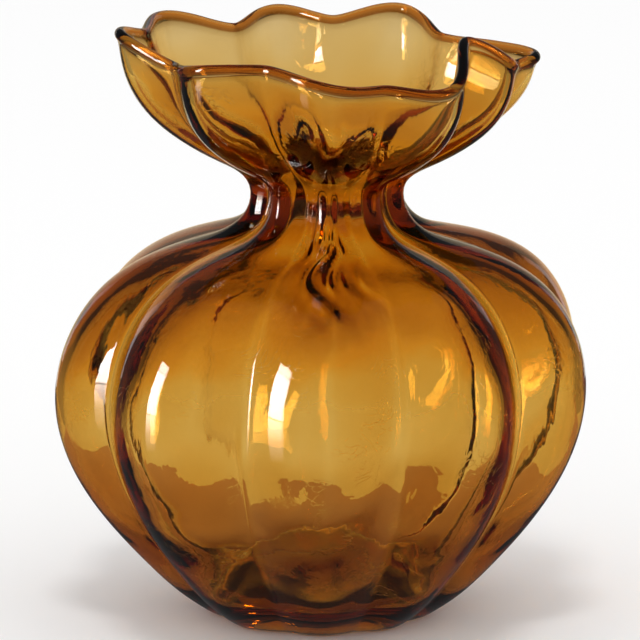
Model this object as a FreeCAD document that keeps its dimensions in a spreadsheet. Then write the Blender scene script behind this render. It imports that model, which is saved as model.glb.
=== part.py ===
import FreeCAD, Part
import math
import os

# Gourd vase: one gather of amber glass blown into a nine-lobed belly, drawn in
# to a fluted neck and opened into a ruffled collar with a fire-polished rim.
# +Z is up and the origin is the middle of the face that it rests on.
# Angles are in degrees round the axis, from the front (-Y) towards the right (+X).

# Driving dimensions, in millimetres

SIZES = {
    "foot_radius": 44.0,       # the resting face, out to the middle of a lobe
    "belly_radius": 105.0,     # the belly where it is widest
    "belly_height": 89.0,      # how high the widest place is
    "neck_radius": 30.5,       # the neck where it is narrowest
    "neck_height": 164.0,      # how high the narrowest place is
    "lip_radius": 79.5,        # the collar at its lip
    "lip_height": 219.5,       # mean height of the lip, under its bead
    "foot_fold": 3.2,          # depth of the grooves at the foot
    "belly_fold": 12.6,        # depth of the grooves at the belly
    "neck_fold": 5.5,          # depth of the grooves at the neck
    "lip_fold": 15.9,          # depth of the folds at the lip
    "foot_fold_inside": 2.4,   # the same four inside the glass
    "belly_fold_inside": 11.6,
    "neck_fold_inside": 3.4,
    "lip_fold_inside": 15.9,
    "foot_lean": -0.8,         # how far right of the axis the foot's middle is
    "belly_lean": 0.2,         # the same for the belly
    "neck_lean": 2.2,          # the same for the neck
    "lip_lean": 0.8,           # the same for the lip
    "belly_lift": 5.0,         # most that one lobe's belly sits above the mean
    "ruffle_reach": 10.9,      # most that a ruffle moves the lip in or out
    "ruffle_rise": 9.5,        # most that a ruffle moves the lip up or down
    "wall": 3.4,               # thickness of the blown wall
    "heel_wall": 7.0,          # thickness where the wall meets the solid foot
    "floor_height": 13.0,      # thickness of the solid foot
    "floor_radius": 37.0,      # the flat of the floor inside
    "bead_radius": 2.3,        # rounded bead along the lip
    "neck_reach": 11.0,        # half the height of the neck
    "overrun": 5.0,            # how far a cutting block passes the glass
}

# Nine lobes, clockwise from above, starting with the one at the front left.
# A fold is the groove that starts a lobe, and a crest is the lobe's own middle.

FOLD_ANGLES = (-62, -18.5, 19, 54, 92, 133, 176, 214, 260)
LIP_FOLD_ANGLES = (-63, -21, 19.5, 60, 86, 133, 177, 214, 258)
LIP_CREST_ANGLES = (-42, 0, 40, 73, 99, 157, 195, 231, 277)
LOBES = len(FOLD_ANGLES)

FOLD_REACH_SHARES = (0.18, 0.25, 0.32, 0, 1, 0.14, 0.18, 0.07, 0.78)
FOLD_RISE_SHARES = (-0.1, 0.42, -0.38, 1, -0.53, -0.32, 0, -0.1, 0.42)
CREST_REACH_SHARES = (-0.5, -0.15, -0.21, -0.64, 0.15, -0.15, -0.25, -0.04, 0)
CREST_RISE_SHARES = (0.26, 0, -0.42, 0.16, -0.37, 0.37, 0.26, 0.47, 0.79)
BELLY_LIFT_SHARES = (-0.2, 0, 0.2, 0.6, 1, 0.6, 0, -0.4, -0.4)

# The side view, ring by ring, in three stretches. Each row has the ring's share
# of the way from the narrow end of its stretch out to the wide end, its share of
# the way up the stretch, and how far its grooves are rounded out from a crease.

LOWER_SHARES = (
    (0, 0, 0.3),
    (0.17, 0.08, 0.1),
    (0.41, 0.236, 0),
    (0.72, 0.489, 0),
    (0.93, 0.753, 0),
)
UPPER_SHARES = (
    (1, 0, 0),
    (0.945, 0.3, 0),
    (0.772, 0.56, 0),
    (0.515, 0.72, 0),
    (0.262, 0.8, 0),
    (0.08, 0.875, 0.1),
    (0, 1, 0.2),
)
COLLAR_SHARES = (
    (0.01, 0.11, 0.3),
    (0.235, 0.25, 0.5),
    (0.56, 0.4, 0.7),
    (0.827, 0.593, 0.8),
    (0.96, 0.797, 0.9),
    (1, 1, 0.9),
)
HEEL_RING = 2                  # the first ring that has the hollow inside it
RUFFLE_GROWTH = 1.3            # power by which the ruffles grow up the collar
LIFT_GROWTH = 2                # power by which a belly's lift grows with its reach
INNER_SOFT_SHARE = 0.35        # how much rounder the grooves are inside the glass

# A lobe's shoulder lies between its groove and its middle

SHOULDER_TURN_SHARE = 0.45
SHOULDER_REACH_SHARE = 0.75
BEAD_STEPS = 8

# Where two of the zones start: the shoulder between the widest place and the
# neck, and the collar between the neck and the lip

SHOULDER_START_SHARE = 0.5
COLLAR_START_SHARE = 0.47


def fill_sheet(document):
    cells = document.addObject("Spreadsheet::Sheet", "sizes")
    for row, (name, value) in enumerate(SIZES.items(), start=1):
        cells.set("A%d" % row, name)
        cells.set("B%d" % row, str(value))
        cells.setAlias("B%d" % row, name)
    document.recompute()
    return cells


doc = FreeCAD.newDocument("gourd_vase")
sheet = fill_sheet(doc)


def size(name):
    return float(sheet.get(name))


def between(low, high, share):
    return low + (high - low) * share


# Rings: the glass at one level

class Ring:
    """What all nine lobes share at one level of the glass."""

    def __init__(self, radius, fold, inner_fold, height, lean, soft):
        self.radius = radius
        self.fold = fold
        self.inner_fold = inner_fold
        self.height = height
        self.lean = lean
        self.soft = soft
        self.lift = 0
        self.ruffle = 0

    def smoothed(self):
        """The ring as the inside has it, with shallower and rounder grooves."""
        self.radius -= self.fold - self.inner_fold
        self.fold = self.inner_fold
        self.soft = min(self.soft + INNER_SOFT_SHARE, 1)
        return self


def ring_between(narrow, wide, bottom, top, shares):
    reach, rise, soft = shares
    low = 0 if bottom == "foot" else size(bottom + "_height")
    return Ring(
        radius=between(size(narrow + "_radius"), size(wide + "_radius"), reach),
        fold=between(size(narrow + "_fold"), size(wide + "_fold"), reach),
        inner_fold=between(size(narrow + "_fold_inside"), size(wide + "_fold_inside"), reach),
        height=between(low, size(top + "_height"), rise),
        lean=between(size(bottom + "_lean"), size(top + "_lean"), rise),
        soft=soft,
    )


def body_ring(narrow, bottom, top, shares):
    ring = ring_between(narrow, "belly", bottom, top, shares)
    ring.lift = size("belly_lift") * shares[0] ** LIFT_GROWTH
    return ring


def collar_ring(shares):
    ring = ring_between("neck", "lip", "neck", "lip", shares)
    ring.ruffle = shares[1] ** RUFFLE_GROWTH
    return ring


def side_rings():
    lower = [body_ring("foot", "foot", "belly", shares) for shares in LOWER_SHARES]
    upper = [body_ring("neck", "belly", "neck", shares) for shares in UPPER_SHARES]
    collar = [collar_ring(shares) for shares in COLLAR_SHARES]
    return lower + upper + collar


def floor_ring():
    ring = side_rings()[0].smoothed()
    ring.radius = size("floor_radius")
    ring.height = size("floor_height")
    return ring


# Lobes: each is one quartic curve on a ring, from groove to groove

def place(ring, angle, radius, height):
    turn = math.radians(angle)
    return FreeCAD.Vector(ring.lean + radius * math.sin(turn), -radius * math.cos(turn), height)


def fold_at(ring, number):
    """Angle, radius and height of a groove on a ring."""
    lap, lobe = divmod(number, LOBES)
    angle = between(FOLD_ANGLES[lobe], LIP_FOLD_ANGLES[lobe], ring.ruffle) + 360 * lap
    reach = size("ruffle_reach") * FOLD_REACH_SHARES[lobe] * ring.ruffle
    rise = size("ruffle_rise") * FOLD_RISE_SHARES[lobe] * ring.ruffle
    return angle, ring.radius - ring.fold + reach, ring.height + rise


def crest_at(ring, lobe, halfway):
    """Angle, radius and height of a lobe's middle on a ring."""
    angle = between(halfway, LIP_CREST_ANGLES[lobe], ring.ruffle)
    reach = size("ruffle_reach") * CREST_REACH_SHARES[lobe] * ring.ruffle
    rise = size("ruffle_rise") * CREST_RISE_SHARES[lobe] * ring.ruffle
    lift = ring.lift * BELLY_LIFT_SHARES[lobe]
    return angle, ring.radius + reach, ring.height + rise + lift


def shoulder(ring, fold, crest):
    """The point that leads the curve from a groove up to the lobe's middle."""
    step = (crest[0] - fold[0]) * SHOULDER_TURN_SHARE
    crisp = between(fold[1], crest[1], SHOULDER_REACH_SHARE)
    soft = fold[1] / math.cos(math.radians(step))
    height = between((fold[2] + crest[2]) / 2, fold[2], ring.soft)
    return place(ring, fold[0] + step, between(crisp, soft, ring.soft), height)


def lobe_points(ring, lobe):
    """The quartic's control points, without the last, which starts the next lobe."""
    first = fold_at(ring, lobe)
    last = fold_at(ring, lobe + 1)
    crest = crest_at(ring, lobe, (first[0] + last[0]) / 2)
    start = place(ring, *first)
    end = place(ring, *last)
    rising = shoulder(ring, first, crest)
    falling = shoulder(ring, last, crest)
    middle = (place(ring, *crest) * 16 - start - end - (rising + falling) * 4) / 6
    return [start, rising, middle, falling]


def ring_points(ring):
    points = []
    for lobe in range(LOBES):
        points += lobe_points(ring, lobe)
    return points


# Nets: rows of points, one row to a ring, that a skin of the glass follows

def along(row, spot):
    """Direction round the vase at one point of a row."""
    return row[(spot + 1) % len(row)] - row[spot - 1]


def outward(net, level, spot):
    above = net[min(level + 1, len(net) - 1)][spot]
    below = net[max(level - 1, 0)][spot]
    return along(net[level], spot).cross(above - below).normalize()


def outer_net():
    return [ring_points(ring) for ring in side_rings()]


def inner_net():
    """The floor's ring, and the outside smoothed and moved in by the wall."""
    skin = [ring_points(ring.smoothed()) for ring in side_rings()]
    net = [ring_points(floor_ring())]
    for level in range(HEEL_RING, len(skin)):
        depth = size("heel_wall") if level == HEEL_RING else size("wall")
        row = skin[level]
        net.append([row[spot] - outward(skin, level, spot) * depth for spot in range(len(row))])
    return net


def bead_net(outer_lip, inner_lip):
    """Rows over the lip, from its outer edge round to its inner edge."""
    radius = size("bead_radius")
    tuck = math.degrees(math.acos(size("wall") / 2 / radius))
    net = []
    for step in range(BEAD_STEPS + 1):
        turn = math.radians(between(-tuck, 180 + tuck, step / BEAD_STEPS))
        lifted = math.sin(turn) + math.sin(math.radians(tuck))
        row = []
        for spot, (outer, inner) in enumerate(zip(outer_lip, inner_lip)):
            out = (outer - inner).normalize()
            up = out.cross(along(outer_lip, spot)).normalize()
            middle = (outer + inner) / 2
            row.append(middle + out * radius * math.cos(turn) + up * radius * lifted)
        net.append(row)
    net[0] = outer_lip
    net[-1] = inner_lip
    return net


# Skins: one curved face to a lobe, through all the rows of a net

def spacing(net):
    """Where each row lies along the skin, by the mean distance between rows."""
    places = [0.0]
    for low, high in zip(net, net[1:]):
        gaps = [(b - a).Length for a, b in zip(low, high)]
        places.append(places[-1] + sum(gaps) / len(gaps))
    return places


def skin_surfaces(net):
    places = spacing(net)
    columns = []
    for spot in range(len(net[0])):
        column = Part.BSplineCurve()
        column.interpolate(Points=[row[spot] for row in net], Parameters=places)
        columns.append(column)
    steps = len(columns) // LOBES
    surfaces = []
    for lobe in range(LOBES):
        strip = [columns[(lobe * steps + step) % len(columns)] for step in range(steps + 1)]
        surfaces.append(lobe_surface(strip))
    return surfaces


def lobe_surface(strip):
    degree = len(strip) - 1
    knots = strip[0].getKnots()
    counts = strip[0].getMultiplicities()
    poles = [column.getPoles() for column in strip]
    surface = Part.BSplineSurface()
    surface.buildFromPolesMultsKnots(poles, [degree + 1, degree + 1], counts, [0, 1], knots,
                                     False, False, degree, strip[0].Degree)
    return surface


def faces(surfaces):
    return [surface.toShape() for surface in surfaces]


def edges(surfaces, end):
    """The skin's first (0) or last (-1) row, as one edge to a lobe."""
    return [surface.vIso(surface.getVKnots()[end]).toShape() for surface in surfaces]


def flat_face(surfaces):
    return Part.Face(Part.Wire(edges(surfaces, 0)))


def lip_faces(outer, inner):
    pairs = zip(edges(outer, -1), edges(inner, -1))
    return [Part.makeRuledSurface(out, into) for out, into in pairs]


def closed_solid(pieces):
    shell = Part.makeShell(pieces)
    shell.sewShape()
    solid = Part.Solid(shell.Shells[0])
    if solid.Volume < 0:
        solid.reverse()
    return solid


# Sub-parts: the glass from foot to lip is cut into its zones by level blocks,
# and the bead lies along the lip

def add_solid(name, solid):
    feature = doc.addObject("Part::Feature", name)
    feature.Shape = solid
    feature.Placement = FreeCAD.Placement()
    return feature


def add_block(name, bottom, top):
    block = doc.addObject("Part::Box", name)
    reach = "(sizes.belly_radius + sizes.overrun)"
    block.setExpression("Length", "2 * " + reach)
    block.setExpression("Width", "2 * " + reach)
    block.setExpression("Height", "(%s) - (%s)" % (top, bottom))
    block.setExpression("Placement.Base.x", "-" + reach)
    block.setExpression("Placement.Base.y", "-" + reach)
    block.setExpression("Placement.Base.z", bottom)
    return block


def add_zone(name, glass, bottom, top):
    zone = doc.addObject("Part::Common", name)
    zone.Label = name
    zone.Base = glass
    zone.Tool = add_block(name + "_block", bottom, top)
    return zone


def level_between(low, high, share):
    return "%s + (%s - (%s)) * %s" % (low, high, low, share)


def zone_tops():
    """The zones from the foot up, each with the level that it ends at."""
    neck_bottom = "sizes.neck_height - sizes.neck_reach"
    neck_top = "sizes.neck_height + sizes.neck_reach"
    return [
        ("base", "sizes.floor_height"),
        ("lower_belly", "sizes.belly_height"),
        ("upper_belly", level_between("sizes.belly_height", neck_bottom, SHOULDER_START_SHARE)),
        ("shoulder", neck_bottom),
        ("neck", neck_top),
        ("throat", level_between(neck_top, "sizes.lip_height", COLLAR_START_SHARE)),
        ("collar", "sizes.lip_height + sizes.ruffle_rise + sizes.overrun"),
    ]


def build_zones(glass):
    zones = []
    bottom = "-sizes.overrun"
    for name, top in zone_tops():
        zones.append(add_zone(name, glass, bottom, top))
        bottom = top
    return zones


def build_vase():
    outside = outer_net()
    inside = inner_net()
    outer = skin_surfaces(outside)
    inner = skin_surfaces(inside)
    bead = skin_surfaces(bead_net(outside[-1], inside[-1]))
    lip = lip_faces(outer, inner)
    ends = [flat_face(outer), flat_face(inner)]
    glass = add_solid("glass", closed_solid(faces(outer) + faces(inner) + lip + ends))
    rim_bead = add_solid("rim_bead", closed_solid(faces(bead) + lip))
    rim_bead.Label = "rim_bead"
    return build_zones(glass) + [rim_bead]


def check(feature):
    shape = feature.Shape
    if "Invalid" in feature.State or "Error" in feature.State:
        raise RuntimeError(feature.Label + " did not build")
    if shape.isNull() or not shape.isValid() or len(shape.Solids) != 1:
        raise RuntimeError(feature.Label + " is not one valid solid")


def main():
    pieces = build_vase()
    doc.recompute()
    for feature in doc.Objects:
        if hasattr(feature, "Shape"):
            check(feature)
    os.makedirs("parts", exist_ok=True)
    for piece in pieces:
        piece.Shape.exportStep(os.path.join("parts", piece.Label + ".step"))
        box = piece.Shape.BoundBox
        print(piece.Label, round(piece.Shape.Volume), "mm3, z", round(box.ZMin, 2), round(box.ZMax, 2))


main()
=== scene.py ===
import math
from collections import namedtuple

import bpy
import numpy as np
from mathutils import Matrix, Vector


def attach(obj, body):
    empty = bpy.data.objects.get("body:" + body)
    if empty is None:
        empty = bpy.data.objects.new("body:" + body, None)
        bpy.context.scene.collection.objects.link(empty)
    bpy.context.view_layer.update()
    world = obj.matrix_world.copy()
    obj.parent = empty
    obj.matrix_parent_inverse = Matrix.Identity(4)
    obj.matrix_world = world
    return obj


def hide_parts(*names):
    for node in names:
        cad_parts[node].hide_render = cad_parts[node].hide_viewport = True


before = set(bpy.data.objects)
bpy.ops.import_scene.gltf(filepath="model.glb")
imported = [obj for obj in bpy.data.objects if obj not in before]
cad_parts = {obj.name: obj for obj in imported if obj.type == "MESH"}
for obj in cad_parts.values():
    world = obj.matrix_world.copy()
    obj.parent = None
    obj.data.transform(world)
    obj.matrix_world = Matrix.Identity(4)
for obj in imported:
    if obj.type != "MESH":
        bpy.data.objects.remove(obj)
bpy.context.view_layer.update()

# The vase's sizes, in metres, as the construction has them. Each level says how far out
# its lobes reach, how deep the grooves between them are outside and inside, how high it
# is, and how far its middle lies to the right.

Level = namedtuple("Level", "radius fold fold_inside height lean")

FOOT = Level(radius=0.044, fold=0.0032, fold_inside=0.0024, height=0, lean=-0.0008)
BELLY = Level(radius=0.105, fold=0.0126, fold_inside=0.0116, height=0.089, lean=0.0002)
NECK = Level(radius=0.0305, fold=0.0055, fold_inside=0.0034, height=0.164, lean=0.0022)
LIP = Level(radius=0.0795, fold=0.0159, fold_inside=0.0159, height=0.2195, lean=0.0008)

BELLY_LIFT = 0.005
RUFFLE_REACH = 0.0109
RUFFLE_RISE = 0.0095
BEAD_RADIUS = 0.0023

# Nine lobes, anticlockwise from above, starting with the one at the front left.
# Angles run from the front towards the right, in degrees.

FOLD_ANGLES = (-62, -18.5, 19, 54, 92, 133, 176, 214, 260)
LIP_FOLD_ANGLES = (-63, -21, 19.5, 60, 86, 133, 177, 214, 258)
LIP_CREST_ANGLES = (-42, 0, 40, 73, 99, 157, 195, 231, 277)
LOBES = len(FOLD_ANGLES)

FOLD_REACH_SHARES = (0.18, 0.25, 0.32, 0, 1, 0.14, 0.18, 0.07, 0.78)
FOLD_RISE_SHARES = (-0.1, 0.42, -0.38, 1, -0.53, -0.32, 0, -0.1, 0.42)
CREST_REACH_SHARES = (-0.5, -0.15, -0.21, -0.64, 0.15, -0.15, -0.25, -0.04, 0)
CREST_RISE_SHARES = (0.26, 0, -0.42, 0.16, -0.37, 0.37, 0.26, 0.47, 0.79)
BELLY_LIFT_SHARES = (-0.2, 0, 0.2, 0.6, 1, 0.6, 0, -0.4, -0.4)

# The side view, ring by ring: share of the way out, share of the way up, and how
# far the grooves are rounded out from a crease

LOWER_SHARES = ((0, 0, 0.3), (0.17, 0.08, 0.1), (0.41, 0.236, 0), (0.72, 0.489, 0),
                (0.93, 0.753, 0))
UPPER_SHARES = ((1, 0, 0), (0.945, 0.3, 0), (0.772, 0.56, 0), (0.515, 0.72, 0),
                (0.262, 0.8, 0), (0.08, 0.875, 0.1), (0, 1, 0.2))
COLLAR_SHARES = ((0.01, 0.11, 0.3), (0.235, 0.25, 0.5), (0.56, 0.4, 0.7),
                 (0.827, 0.593, 0.8), (0.96, 0.797, 0.9), (1, 1, 0.9))
RUFFLE_GROWTH = 1.3
LIFT_GROWTH = 2
INNER_SOFT_SHARE = 0.4
SHOULDER_TURN_SHARE = 0.45
SHOULDER_REACH_SHARE = 0.75

# The depth of the glass, in metres: its wall at each ring from the heel up to the lip,
# and the inner floor, whose rings are shares of its radius and height, from the middle out

HEEL_RING = 1
GLASS_WALLS = (0.006, 0.005, 0.0038, 0.0032, 0.0034, 0.0048, 0.0062, 0.0072, 0.0078,
               0.0078, 0.0074, 0.0068, 0.006, 0.0054, 0.0046, 0.0038, 0.0034)
INNER_FLOOR_RADIUS = 0.044
INNER_FLOOR_HEIGHT = 0.017
INNER_FLOOR_RINGS = ((0.3, 1), (0.6, 1), (0.85, 0.9), (1, 0.7))

# The hollow under the foot: its depth in metres, where its side meets the resting face,
# as a share of the foot, and how steep that side is

HOLLOW_DEPTH = 0.0125
HOLLOW_SHARE = 0.965
HOLLOW_STEEPNESS = 40

# The swell of blown glass: wavelengths and heights in metres, and how the waves bend

RIPPLES = ((0.009, 0.00003), (0.018, 0.00006), (0.032, 0.0001), (0.07, 0.0002))
RIPPLE_SEED = 7
RIPPLE_WAVES = 3
RIPPLE_BEND_LENGTH = 2.6
RIPPLE_BEND = 1.3

# The wrinkles inside the shoulder: their place and step round the vase in degrees, their
# height, reach and depth in metres, and their waves, each with its pace across, its pace
# upwards and where it starts

PINCH_TURN, PINCH_SPREAD, PINCH_STEP = 2, 13, 7
PINCH_HEIGHT, PINCH_REACH, PINCH_DEPTH = 0.141, 0.0095, 0.010
PINCH_WAVER, PINCH_WAVER_PACE = 5, 420
PINCH_WAVES = ((1, 0, 0), (0.57, 180, 0), (1.7, 0, 2))
PINCH_EVEN_SHARE, PINCH_WAVE_SHARE = 0.55, 0.45

# How finely the glass is drawn

LOBE_STEPS = 40
OUTSIDE_ROWS = 126
INSIDE_ROWS = 110
BEAD_ROWS = 14
HOLLOW_ROWS = 20
HOLLOW_FIRST_ROW, HOLLOW_LAST_ROW = 0.04, 0.98
INNER_FLOOR_ROWS = (0.75, 0.5, 0.25, 0.1)

# The glass's colour, and its skin: each grain has a scale, a detail and a distortion,
# the heights are in metres, and the marks are thin lines where their grain is halfway

GLASS_IOR = 1.5
GLASS_TINT = (0.8826, 0.7107, 0.181)
GLASS_DENSITY = 420
# Painted shade: the bead's glass is tinted darker than its depth would make it
BEAD_PAINTED_SHADE_TONES = ((0, (1, 1, 1)), (0.5, (1, 1, 1)), (1, (0.6, 0.34, 0.16)))
STREAK_GRAIN = (90, 3, 0.4)
STREAK_STRETCH = (1, 1, 0.35)
STREAK_HEIGHT = 0.00012
MARK_GRAIN = (70, 2, 2.2)
MARK_TONES = ((0, (0, 0, 0)), (0.485, (0, 0, 0)), (0.5, (1, 1, 1)), (0.515, (0, 0, 0)),
              (1, (0, 0, 0)))
MARK_HEIGHT = 0.000025
PATCH_GRAIN = (34, 1, 0)
PATCH_TONES = ((0, (0, 0, 0)), (0.6, (0, 0, 0)), (0.67, (1, 1, 1)), (1, (1, 1, 1)))

# The studio's sheets, in metres. Tones run from a sheet's foot to its top, and the
# window's side tones from its left to its right.

CARD_ROUGHNESS = 0.9

PAPER_TONE = (0.91, 0.91, 0.91)
PAPER_HALF_WIDTH = 0.3
PAPER_FRONT = 0.5
PAPER_BACK = 6
PAPER_GAP = 0.0006

TABLE_TONE = (0.62, 0.43, 0.44)
TABLE_REACH = 0.6
TABLE_BACK = 0.162
TABLE_GAP = 0.0002

SCREEN_DISTANCE = 0.4
SCREEN_WIDTH = 0.6
SCREEN_HEIGHT = 0.32
SCREEN_TONES = ((0, (1, 1, 1)), (0.05, (1, 0.97, 0.9)), (0.13, (1, 0.82, 0.45)),
                (0.25, (0.85, 0.68, 0.42)), (0.42, (0.78, 0.66, 0.47)),
                (0.7, (0.5, 0.4, 0.28)), (1, (0.3, 0.24, 0.17)))

BACK_WALL_DISTANCE = 1.0
BACK_WALL_WIDTH = 1.6
BACK_WALL_HEIGHT = 0.6
BACK_WALL_TONES = ((0, (0.95, 0.93, 0.97)), (0.6, (0.8, 0.76, 0.78)), (1, (0.3, 0.28, 0.28)))

WINDOW_AZIMUTH = -68
WINDOW_DISTANCE = 1.5
WINDOW_MIDDLE = 0.24
WINDOW_WIDTH = 0.43
WINDOW_HEIGHT = 1.5
WINDOW_GLOW = 24
WINDOW_TONES = ((0, (0.02, 0.015, 0.012)), (0.2, (0.2, 0.15, 0.12)), (0.4, (0.75, 0.62, 0.52)),
                (0.405, (0.3, 0.25, 0.2)), (0.415, (0.3, 0.25, 0.2)), (0.42, (0.95, 0.88, 0.8)),
                (0.6, (1, 1, 1)), (0.87, (1, 1, 1)), (0.875, (0.45, 0.4, 0.35)),
                (0.885, (0.45, 0.4, 0.35)), (0.89, (0.9, 0.85, 0.8)), (1, (0.8, 0.72, 0.65)))
WINDOW_SIDE_TONES = ((0, (1, 1, 1)), (0.8, (1, 1, 1)), (1, (0.3, 0.3, 0.3)))

# The room that shows in the glass: its tones from straight down to straight up, and the
# dim ceiling that they never fall below; and the even light on the floor

ROOM_TONES = ((0, (0.55, 0.55, 0.55)), (0.45, (0.55, 0.55, 0.55)), (0.52, (0.4, 0.4, 0.4)),
              (0.6, (0.3, 0.3, 0.3)), (0.66, (0.08, 0.08, 0.08)), (1, (0.08, 0.08, 0.08)))
CEILING = 0.08
AMBIENT = 0.95

# The key light and the camera, in metres, degrees, watts and, for the lens, millimetres

KEY_AZIMUTH = -3
KEY_ELEVATION = 69
KEY_DISTANCE = 6.0
KEY_WIDTH = 1.2
KEY_DEPTH = 0.9
KEY_POWER = 65

CAMERA_MIDDLE = (0, 0, 0.108)
CAMERA_AIM = (-0.001, 0, 0.115)
CAMERA_DISTANCE = 2.6
CAMERA_ELEVATION = 13.2
SENSOR_WIDTH = 36
LENS_LENGTH = 376

# How often light is followed on from surface to surface

BOUNCES = 32
THROUGH_BOUNCES = 32
MIRROR_BOUNCES = 16
VOLUME_BOUNCES = 2


def between(low, high, share):
    return low + (high - low) * share


class Ring:
    """What all nine lobes share on one ring of the glass."""

    def __init__(self, shares, inmost, outmost, lowest, highest):
        self.reach, self.rise, self.soft = shares
        self.radius = between(inmost.radius, outmost.radius, self.reach)
        self.fold = between(inmost.fold, outmost.fold, self.reach)
        self.fold_inside = between(inmost.fold_inside, outmost.fold_inside, self.reach)
        self.height = between(lowest.height, highest.height, self.rise)
        self.lean = between(lowest.lean, highest.lean, self.rise)
        self.lift = 0
        self.ruffle = 0

    def smoothed(self):
        """The ring as the inside has it, with shallower and rounder grooves."""
        self.radius -= self.fold - self.fold_inside
        self.fold = self.fold_inside
        self.soft = min(self.soft + INNER_SOFT_SHARE, 1)
        return self


def belly_ring(shares, narrowest, lowest, highest):
    ring = Ring(shares, narrowest, BELLY, lowest, highest)
    ring.lift = BELLY_LIFT * ring.reach ** LIFT_GROWTH
    return ring


def collar_ring(shares):
    ring = Ring(shares, NECK, LIP, NECK, LIP)
    ring.ruffle = ring.rise ** RUFFLE_GROWTH
    return ring


def side_rings():
    lower = [belly_ring(shares, FOOT, FOOT, BELLY) for shares in LOWER_SHARES]
    upper = [belly_ring(shares, NECK, BELLY, NECK) for shares in UPPER_SHARES]
    collar = [collar_ring(shares) for shares in COLLAR_SHARES]
    return lower + upper + collar


# Lobes: each is one quartic curve on a ring, from groove to groove

def place(ring, angle, radius, height):
    turn = math.radians(angle)
    return np.array((ring.lean + radius * math.sin(turn), -radius * math.cos(turn), height))


def fold_at(ring, number):
    lap, lobe = divmod(number, LOBES)
    angle = between(FOLD_ANGLES[lobe], LIP_FOLD_ANGLES[lobe], ring.ruffle) + 360 * lap
    reach = RUFFLE_REACH * FOLD_REACH_SHARES[lobe] * ring.ruffle
    rise = RUFFLE_RISE * FOLD_RISE_SHARES[lobe] * ring.ruffle
    return angle, ring.radius - ring.fold + reach, ring.height + rise


def crest_at(ring, lobe, halfway):
    angle = between(halfway, LIP_CREST_ANGLES[lobe], ring.ruffle)
    reach = RUFFLE_REACH * CREST_REACH_SHARES[lobe] * ring.ruffle
    rise = RUFFLE_RISE * CREST_RISE_SHARES[lobe] * ring.ruffle
    lift = ring.lift * BELLY_LIFT_SHARES[lobe]
    return angle, ring.radius + reach, ring.height + rise + lift


def shoulder(ring, fold, crest):
    step = (crest[0] - fold[0]) * SHOULDER_TURN_SHARE
    crisp = between(fold[1], crest[1], SHOULDER_REACH_SHARE)
    soft = fold[1] / math.cos(math.radians(step))
    height = between((fold[2] + crest[2]) / 2, fold[2], ring.soft)
    return place(ring, fold[0] + step, between(crisp, soft, ring.soft), height)


def lobe_points(ring, lobe):
    """The first four of a lobe's five control points; the middle one puts it on its crest."""
    first = fold_at(ring, lobe)
    last = fold_at(ring, lobe + 1)
    crest = crest_at(ring, lobe, (first[0] + last[0]) / 2)
    start = place(ring, *first)
    end = place(ring, *last)
    rising = shoulder(ring, first, crest)
    falling = shoulder(ring, last, crest)
    middle = (place(ring, *crest) * 16 - start - end - (rising + falling) * 4) / 6
    return [start, rising, middle, falling]


def ring_points(ring):
    points = []
    for lobe in range(LOBES):
        points += lobe_points(ring, lobe)
    return np.array(points)


# Nets: rows of control points, one row to a ring

def along(row):
    return np.roll(row, -1, axis=0) - np.roll(row, 1, axis=0)


def unit(directions):
    return directions / np.linalg.norm(directions, axis=-1, keepdims=True)


def outward(net, level):
    above = net[min(level + 1, len(net) - 1)]
    below = net[max(level - 1, 0)]
    return unit(np.cross(along(net[level]), above - below))


def outer_net():
    return np.array([ring_points(ring) for ring in side_rings()])


def inner_floor_ring(reach, rise):
    ring = side_rings()[0].smoothed()
    ring.radius = INNER_FLOOR_RADIUS * reach
    ring.height = INNER_FLOOR_HEIGHT * rise
    return ring_points(ring)


def inner_net():
    skin = [ring_points(ring.smoothed()) for ring in side_rings()]
    net = [inner_floor_ring(reach, rise) for reach, rise in INNER_FLOOR_RINGS]
    for level, wall in enumerate(GLASS_WALLS, HEEL_RING):
        net.append(skin[level] - outward(skin, level) * wall)
    return np.array(net)


# Skins: fine rows of points that pass through the rows of a net

def spacing(net):
    gaps = np.linalg.norm(np.diff(net, axis=0), axis=2).mean(axis=1)
    return np.concatenate(([0], np.cumsum(gaps)))


def bends(places, net):
    """Second derivatives of the natural cubic curve through the rows."""
    steps = np.diff(places)
    count = len(places)
    system = np.eye(count)
    pull = np.zeros_like(net)
    for k in range(1, count - 1):
        system[k, k - 1:k + 2] = steps[k - 1], 2 * (steps[k - 1] + steps[k]), steps[k]
        pull[k] = 6 * ((net[k + 1] - net[k]) / steps[k] - (net[k] - net[k - 1]) / steps[k - 1])
    return np.linalg.solve(system, pull.reshape(count, -1)).reshape(net.shape)


def rows_through(net, count):
    places = spacing(net)
    bend = bends(places, net)
    rows = []
    for wanted in np.linspace(0, places[-1], count):
        k = min(int(np.searchsorted(places, wanted, side="right")) - 1, len(places) - 2)
        step = places[k + 1] - places[k]
        low, high = (places[k + 1] - wanted) / step, (wanted - places[k]) / step
        curve = (low ** 3 - low) * bend[k] + (high ** 3 - high) * bend[k + 1]
        rows.append(low * net[k] + high * net[k + 1] + curve * step ** 2 / 6)
    return np.array(rows)


def lobes_drawn(rows):
    """Each row's quartic lobes as points, evenly spaced along each lobe."""
    corners = rows.reshape(len(rows), LOBES, 4, 3)
    ends = np.roll(corners[:, :, :1], -1, axis=1)
    control = np.concatenate((corners, ends), axis=2)
    way = np.arange(LOBE_STEPS)[:, None] / LOBE_STEPS
    weights = np.array([math.comb(4, k) for k in range(5)]) * way ** np.arange(5) \
        * (1 - way) ** (4 - np.arange(5))
    drawn = np.einsum("sk,rlkc->rlsc", weights, control)
    return drawn.reshape(len(rows), LOBES * LOBE_STEPS, 3)


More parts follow.
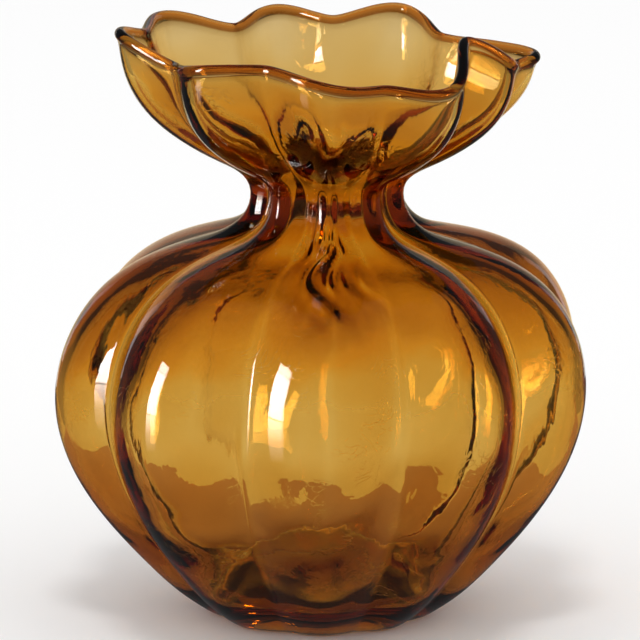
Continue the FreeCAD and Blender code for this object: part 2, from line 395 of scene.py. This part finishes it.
def bead_rows(outer_lip, inner_lip):
    """Rows over the lip, from its outer edge round to its inner edge."""
    out = unit(outer_lip - inner_lip)
    up = unit(np.cross(out, along(outer_lip)))
    middle = (outer_lip + inner_lip) / 2
    half = np.linalg.norm(outer_lip - inner_lip, axis=-1, keepdims=True) / 2
    tuck = np.arccos(np.clip(half / BEAD_RADIUS, 0, 1))
    rows = []
    for step in range(1, BEAD_ROWS):
        turn = between(-tuck, math.pi + tuck, step / BEAD_ROWS)
        lifted = np.sin(turn) + np.sin(tuck)
        rows.append(middle + out * BEAD_RADIUS * np.cos(turn) + up * BEAD_RADIUS * lifted)
    return np.array(rows)


def polished(grid):
    """Fire polish: corners and creases melt a little, in both directions."""
    grid = (np.roll(grid, 1, axis=1) + 2 * grid + np.roll(grid, -1, axis=1)) / 4
    grid[1:-1] = (grid[:-2] + 2 * grid[1:-1] + grid[2:]) / 4
    return grid


def sunk_rows(edge, shares):
    """Level rows inside an edge row, drawn in towards its middle."""
    middle = edge.mean(axis=0)
    return np.array([between(middle, edge, share) for share in shares])


def hollowed_foot(edge):
    """Rows under the foot, from its middle out: a hollow that follows the lobes."""
    steps = np.linspace(HOLLOW_FIRST_ROW, 1, HOLLOW_ROWS)
    shares = np.sin(steps * math.pi / 2) * HOLLOW_LAST_ROW
    sunk = np.clip(1 - (shares / HOLLOW_SHARE) ** HOLLOW_STEEPNESS, 0, None)
    rows = sunk_rows(edge, shares)
    rows[..., 2] += HOLLOW_DEPTH * sunk[:, None]
    return rows


def swell(points):
    """The uneven skin of blown glass: a smooth swell along each point's own normal."""
    chance = np.random.default_rng(RIPPLE_SEED)
    depth = np.zeros(points.shape[:-1])
    for wavelength, height in RIPPLES:
        for _ in range(RIPPLE_WAVES):
            way = unit(chance.normal(size=3)) * 2 * math.pi / wavelength
            bend = unit(chance.normal(size=3)) * 2 * math.pi / (wavelength * RIPPLE_BEND_LENGTH)
            turn = chance.uniform(0, 2 * math.pi)
            depth += height * np.sin(points @ way + turn + RIPPLE_BEND * np.sin(points @ bend))
    across = along(points.swapaxes(0, 1)).swapaxes(0, 1)
    up = np.gradient(points, axis=0)
    return points + unit(np.cross(across, up)) * depth[..., None]


def pinched(points):
    """Wrinkles that the jacks left inside, at the front, where the neck was drawn in."""
    turn = np.degrees(np.arctan2(points[..., 0], -points[..., 1]))
    up = points[..., 2]
    aside, above = (turn - PINCH_TURN) / PINCH_SPREAD, (up - PINCH_HEIGHT) / PINCH_REACH
    near = np.exp(-aside ** 2 - above ** 2)
    waver = PINCH_WAVER * np.sin(up * PINCH_WAVER_PACE)
    way = math.radians(360 / PINCH_STEP) * (turn - PINCH_TURN + waver)
    waves = sum(np.cos(way * across + up * rise + start) for across, rise, start in PINCH_WAVES)
    depth = near * PINCH_DEPTH * (PINCH_EVEN_SHARE + PINCH_WAVE_SHARE * (waves / 2))
    return points - unit(points * (1, 1, 0)) * depth[..., None]


def glass_grid():
    """All rows of the glass, and which of them are the bead's.

    They run from under the foot up the outside, over the lip and down the inside.
    """
    outer = lobes_drawn(rows_through(outer_net(), OUTSIDE_ROWS))
    inner = lobes_drawn(rows_through(inner_net(), INSIDE_ROWS))
    under = hollowed_foot(outer[0])
    inner = swell(pinched(inner))[::-1]
    floor = sunk_rows(inner[-1], INNER_FLOOR_ROWS)
    bead = bead_rows(outer[-1], inner[0])
    grid = polished(np.concatenate((under, outer, bead, inner, floor)))
    first = len(under) + len(outer)
    return grid, range(first, first + len(bead))


def closed_mesh(name, grid):
    """One closed mesh: the grid's rows joined round, and each end closed by a fan."""
    rows, columns, _ = grid.shape
    points = np.concatenate((grid.reshape(-1, 3), grid[:1].mean(axis=1), grid[-1:].mean(axis=1)))
    first, last = rows * columns, rows * columns + 1
    faces = []
    for row in range(rows - 1):
        low, high = row * columns, (row + 1) * columns
        for k in range(columns):
            after = (k + 1) % columns
            faces.append((low + k, low + after, high + after, high + k))
    top = (rows - 1) * columns
    for k in range(columns):
        after = (k + 1) % columns
        faces.append((first, after, k))
        faces.append((last, top + k, top + after))
    mesh = bpy.data.meshes.new(name)
    mesh.from_pydata(points.tolist(), [], faces)
    mesh.polygons.foreach_set("use_smooth", [True] * len(mesh.polygons))
    mesh.update()
    return mesh


def mark_painted_bead_shade(mesh, rows, columns):
    """A mask over the bead, where painted shade tints the glass darker."""
    shares = np.zeros(len(mesh.vertices))
    shares[rows.start * columns:rows.stop * columns] = 1
    mesh.attributes.new("rim", "FLOAT", "POINT").data.foreach_set("value", shares)


def placed(name, data):
    """A new object in the scene, with this mesh, light or camera in it."""
    thing = bpy.data.objects.new(name, data)
    bpy.context.scene.collection.objects.link(thing)
    return thing


def make_vase():
    grid, rim_rows = glass_grid()
    mesh = closed_mesh("vase", grid)
    mark_painted_bead_shade(mesh, rim_rows, grid.shape[1])
    return placed("vase", mesh)


# Materials

def new_material(name):
    material = bpy.data.materials.new(name)
    material.use_nodes = True
    material.node_tree.nodes.clear()
    return material, material.node_tree.nodes, material.node_tree.links


def add_node(nodes, kind, **settings):
    node = nodes.new(kind)
    for name, value in settings.items():
        setattr(node, name, value)
    return node


def set_inputs(node, **values):
    for name, value in values.items():
        node.inputs[name.replace("_", " ")].default_value = value


def math_node(nodes, links, operation, first, second):
    node = add_node(nodes, "ShaderNodeMath", operation=operation)
    for socket, given in zip(node.inputs, (first, second)):
        if isinstance(given, (int, float)):
            socket.default_value = given
        else:
            links.new(given, socket)
    return node.outputs["Value"]


def tone_ramp(nodes, links, source, tones):
    """Tones, each at its position from 0 to 1, read off by the source's value."""
    ramp = add_node(nodes, "ShaderNodeValToRGB")
    steps = ramp.color_ramp.elements
    while len(steps) < len(tones):
        steps.new(0.5)
    for step, (position, tone) in zip(steps, tones):
        step.position = position
    for step, (position, tone) in zip(steps, tones):
        step.color = (*tone, 1)
    links.new(source, ramp.inputs["Fac"])
    return ramp.outputs["Color"]


def noise(nodes, links, source, grain):
    scale, detail, distortion = grain
    texture = add_node(nodes, "ShaderNodeTexNoise")
    set_inputs(texture, Scale=scale, Detail=detail, Distortion=distortion)
    links.new(source, texture.inputs["Vector"])
    return texture.outputs["Fac"]


def blown_skin(nodes, links):
    """The skin left by the mould and the blowing: faint streaks, and a few fine chill marks."""
    place_on = add_node(nodes, "ShaderNodeTexCoord").outputs["Object"]
    stretched = add_node(nodes, "ShaderNodeMapping")
    set_inputs(stretched, Scale=STREAK_STRETCH)
    links.new(place_on, stretched.inputs["Vector"])
    streaks = noise(nodes, links, stretched.outputs["Vector"], STREAK_GRAIN)
    lines = tone_ramp(nodes, links, noise(nodes, links, place_on, MARK_GRAIN), MARK_TONES)
    patches = tone_ramp(nodes, links, noise(nodes, links, place_on, PATCH_GRAIN), PATCH_TONES)
    marks = math_node(nodes, links, "MULTIPLY", lines, patches)
    streaks_up = math_node(nodes, links, "MULTIPLY", streaks, STREAK_HEIGHT)
    marks_up = math_node(nodes, links, "MULTIPLY", marks, MARK_HEIGHT)
    skin = add_node(nodes, "ShaderNodeBump")
    set_inputs(skin, Strength=1.0, Distance=1.0)
    links.new(math_node(nodes, links, "ADD", streaks_up, marks_up), skin.inputs["Height"])
    return skin.outputs["Normal"]


def amber_glass():
    """Clear glass that colours by its depth, with painted shade that darkens the bead."""
    material, nodes, links = new_material("amber_glass")
    output = add_node(nodes, "ShaderNodeOutputMaterial")
    glass = add_node(nodes, "ShaderNodeBsdfPrincipled")
    set_inputs(glass, Base_Color=(1, 1, 1, 1), Roughness=0, IOR=GLASS_IOR,
               Transmission_Weight=1)
    # Painted shade: the bead's mask darkens the glass's colour there
    rim = add_node(nodes, "ShaderNodeAttribute", attribute_name="rim")
    links.new(tone_ramp(nodes, links, rim.outputs["Fac"], BEAD_PAINTED_SHADE_TONES), glass.inputs["Base Color"])
    links.new(blown_skin(nodes, links), glass.inputs["Normal"])
    depth = add_node(nodes, "ShaderNodeVolumeAbsorption")
    set_inputs(depth, Color=(*GLASS_TINT, 1), Density=GLASS_DENSITY)
    links.new(glass.outputs["BSDF"], output.inputs["Surface"])
    links.new(depth.outputs["Volume"], output.inputs["Volume"])
    return material


def matt_card(name, tone):
    material, nodes, links = new_material(name)
    output = add_node(nodes, "ShaderNodeOutputMaterial")
    card = add_node(nodes, "ShaderNodeBsdfPrincipled")
    set_inputs(card, Base_Color=(*tone, 1), Roughness=CARD_ROUGHNESS, Specular_IOR_Level=0.0)
    links.new(card.outputs["BSDF"], output.inputs["Surface"])
    return material


def lit_sheet(name, tones, side_tones=None, strength=1):
    """A glow whose tones run up the sheet, dimmed by the side tones that run across it."""
    material, nodes, links = new_material(name)
    output = add_node(nodes, "ShaderNodeOutputMaterial")
    glow = add_node(nodes, "ShaderNodeEmission")
    set_inputs(glow, Strength=strength)
    way = add_node(nodes, "ShaderNodeSeparateXYZ")
    links.new(add_node(nodes, "ShaderNodeTexCoord").outputs["UV"], way.inputs["Vector"])
    tone = tone_ramp(nodes, links, way.outputs["Y"], tones)
    if side_tones:
        both = add_node(nodes, "ShaderNodeMix", data_type="RGBA", blend_type="MULTIPLY")
        set_inputs(both, Factor=1)
        links.new(tone, both.inputs["A"])
        links.new(tone_ramp(nodes, links, way.outputs["X"], side_tones), both.inputs["B"])
        tone = both.outputs["Result"]
    links.new(tone, glow.inputs["Color"])
    links.new(glow.outputs["Emission"], output.inputs["Surface"])
    return material


# Stage: floor, sheets, light and camera

def flat_sheet(name, corners, material):
    """A sheet from its four corners: left foot, right foot, right top, left top."""
    mesh = bpy.data.meshes.new(name)
    mesh.from_pydata(corners, [], [(0, 1, 2, 3)])
    mesh.materials.append(material)
    spread = mesh.uv_layers.new(name="spread")
    for corner, place_on in zip(spread.data, ((0, 0), (1, 0), (1, 1), (0, 1))):
        corner.uv = place_on
    sheet = placed(name, mesh)
    return sheet


def laid_sheet(name, half_width, front, back, height, material):
    corners = [(-half_width, -front, height), (half_width, -front, height),
               (half_width, back, height), (-half_width, back, height)]
    return flat_sheet(name, corners, material)


def standing_sheet(name, width, distance, height, material):
    side = width / 2
    corners = [(-side, distance, 0), (side, distance, 0),
               (side, distance, height), (-side, distance, height)]
    return flat_sheet(name, corners, material)


def hide_from(thing, *rays):
    """Keep a sheet or a lamp out of what the named kinds of ray meet."""
    for ray in rays:
        setattr(thing, "visible_" + ray, False)


def heading(azimuth, elevation):
    """The direction that lies so far to the right of the front and so far up."""
    turn, up = math.radians(azimuth), math.radians(elevation)
    return Vector((math.sin(turn) * math.cos(up), -math.cos(turn) * math.cos(up), math.sin(up)))


def make_floor():
    """A strip of white paper that runs away behind the vase."""
    floor = laid_sheet("floor", PAPER_HALF_WIDTH, PAPER_FRONT, PAPER_BACK, -PAPER_GAP,
                       matt_card("pale_floor", PAPER_TONE))
    hide_from(floor, "glossy")


def make_table():
    """The duller table under the paper, which shows in the glass only, up to its back edge."""
    table = laid_sheet("table", TABLE_REACH, TABLE_REACH, TABLE_BACK, -TABLE_GAP,
                       matt_card("table_card", TABLE_TONE))
    hide_from(table, "camera", "diffuse", "glossy", "shadow")


def make_screen():
    """White paper behind the vase, lit from below, which shows in the glass only."""
    screen = standing_sheet("screen", SCREEN_WIDTH, SCREEN_DISTANCE, SCREEN_HEIGHT,
                            lit_sheet("lit_screen", SCREEN_TONES))
    hide_from(screen, "camera", "diffuse", "shadow")


def make_back_wall():
    """The pale wall behind, which shows only as a soft sheen on the shoulders."""
    wall = standing_sheet("wall", BACK_WALL_WIDTH, BACK_WALL_DISTANCE, BACK_WALL_HEIGHT,
                          lit_sheet("wall_glow", BACK_WALL_TONES))
    hide_from(wall, "camera", "diffuse", "transmission", "shadow")


def room_strength(nodes, links, path):
    """Full strength for the camera, the room's tones through glass, the ceiling's elsewhere."""
    way = add_node(nodes, "ShaderNodeSeparateXYZ")
    links.new(add_node(nodes, "ShaderNodeTexCoord").outputs["Generated"], way.inputs["Vector"])
    half = math_node(nodes, links, "MULTIPLY", way.outputs["Z"], 0.5)
    upward = math_node(nodes, links, "ADD", half, 0.5)
    room = tone_ramp(nodes, links, upward, ROOM_TONES)
    seen_through = math_node(nodes, links, "MULTIPLY", room, path["Is Transmission Ray"])
    in_glass = math_node(nodes, links, "MAXIMUM", seen_through, CEILING)
    return math_node(nodes, links, "MAXIMUM", in_glass, path["Is Camera Ray"])


def make_world():
    """White all round for the picture, a dim room in the glass, and even light on the floor."""
    world = bpy.data.worlds.new("studio")
    bpy.context.scene.world = world
    world.use_nodes = True
    nodes, links = world.node_tree.nodes, world.node_tree.links
    nodes.clear()
    output = add_node(nodes, "ShaderNodeOutputWorld")
    path = add_node(nodes, "ShaderNodeLightPath").outputs
    lighting = add_node(nodes, "ShaderNodeBackground")
    set_inputs(lighting, Color=(1, 1, 1, 1), Strength=AMBIENT)
    shown = add_node(nodes, "ShaderNodeBackground")
    set_inputs(shown, Color=(1, 1, 1, 1))
    links.new(room_strength(nodes, links, path), shown.inputs["Strength"])
    mirrored = math_node(nodes, links, "MAXIMUM", path["Is Glossy Ray"],
                         path["Is Transmission Ray"])
    either = math_node(nodes, links, "MAXIMUM", path["Is Camera Ray"], mirrored)
    straight = math_node(nodes, links, "LESS_THAN", path["Diffuse Depth"], 0.5)
    mix = add_node(nodes, "ShaderNodeMixShader")
    links.new(math_node(nodes, links, "MULTIPLY", either, straight), mix.inputs["Fac"])
    links.new(lighting.outputs["Background"], mix.inputs[1])
    links.new(shown.outputs["Background"], mix.inputs[2])
    links.new(mix.outputs["Shader"], output.inputs["Surface"])


def make_window():
    """A tall window at the left, with two thin bars across it; it shows in the glass only."""
    away = heading(WINDOW_AZIMUTH, 0)
    side = heading(WINDOW_AZIMUTH + 90, 0) * WINDOW_WIDTH / 2
    up = Vector((0, 0, WINDOW_HEIGHT / 2))
    middle = away * WINDOW_DISTANCE + Vector((0, 0, WINDOW_MIDDLE))
    corners = [middle - side - up, middle + side - up, middle + side + up, middle - side + up]
    daylight = lit_sheet("window_light", WINDOW_TONES, WINDOW_SIDE_TONES, WINDOW_GLOW)
    hide_from(flat_sheet("window", corners, daylight), "camera", "diffuse", "shadow")


def make_key():
    """A small light from the front and above: it gives the vase its shadow on the floor."""
    light = bpy.data.lights.new("key", "AREA")
    light.shape = "RECTANGLE"
    light.size, light.size_y = KEY_WIDTH, KEY_DEPTH
    light.energy = KEY_POWER
    key = placed("key", light)
    key.location = heading(KEY_AZIMUTH, KEY_ELEVATION) * KEY_DISTANCE
    key.rotation_euler = (-key.location).to_track_quat("-Z", "Y").to_euler()
    hide_from(key, "camera", "glossy", "transmission")


def make_camera():
    lens = bpy.data.cameras.new("camera")
    lens.sensor_width = SENSOR_WIDTH
    lens.lens = LENS_LENGTH
    camera = placed("camera", lens)
    camera.location = Vector(CAMERA_MIDDLE) + heading(0, CAMERA_ELEVATION) * CAMERA_DISTANCE
    aim = Vector(CAMERA_AIM) - camera.location
    camera.rotation_euler = aim.to_track_quat("-Z", "Y").to_euler()
    bpy.context.scene.camera = camera


def make_stage():
    make_floor()
    make_table()
    make_screen()
    make_back_wall()
    make_world()
    make_window()
    make_key()
    make_camera()


def set_light_paths(scene):
    scene.cycles.max_bounces = BOUNCES
    scene.cycles.transmission_bounces = THROUGH_BOUNCES
    scene.cycles.glossy_bounces = MIRROR_BOUNCES
    scene.cycles.volume_bounces = VOLUME_BOUNCES


vase = make_vase()
vase.data.materials.append(amber_glass())
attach(vase, "root")
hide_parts("base", "lower_belly", "upper_belly", "shoulder", "neck", "throat", "collar",
            "rim_bead")

make_stage()
set_light_paths(bpy.context.scene)
bpy.context.scene.view_settings.view_transform = "Standard"
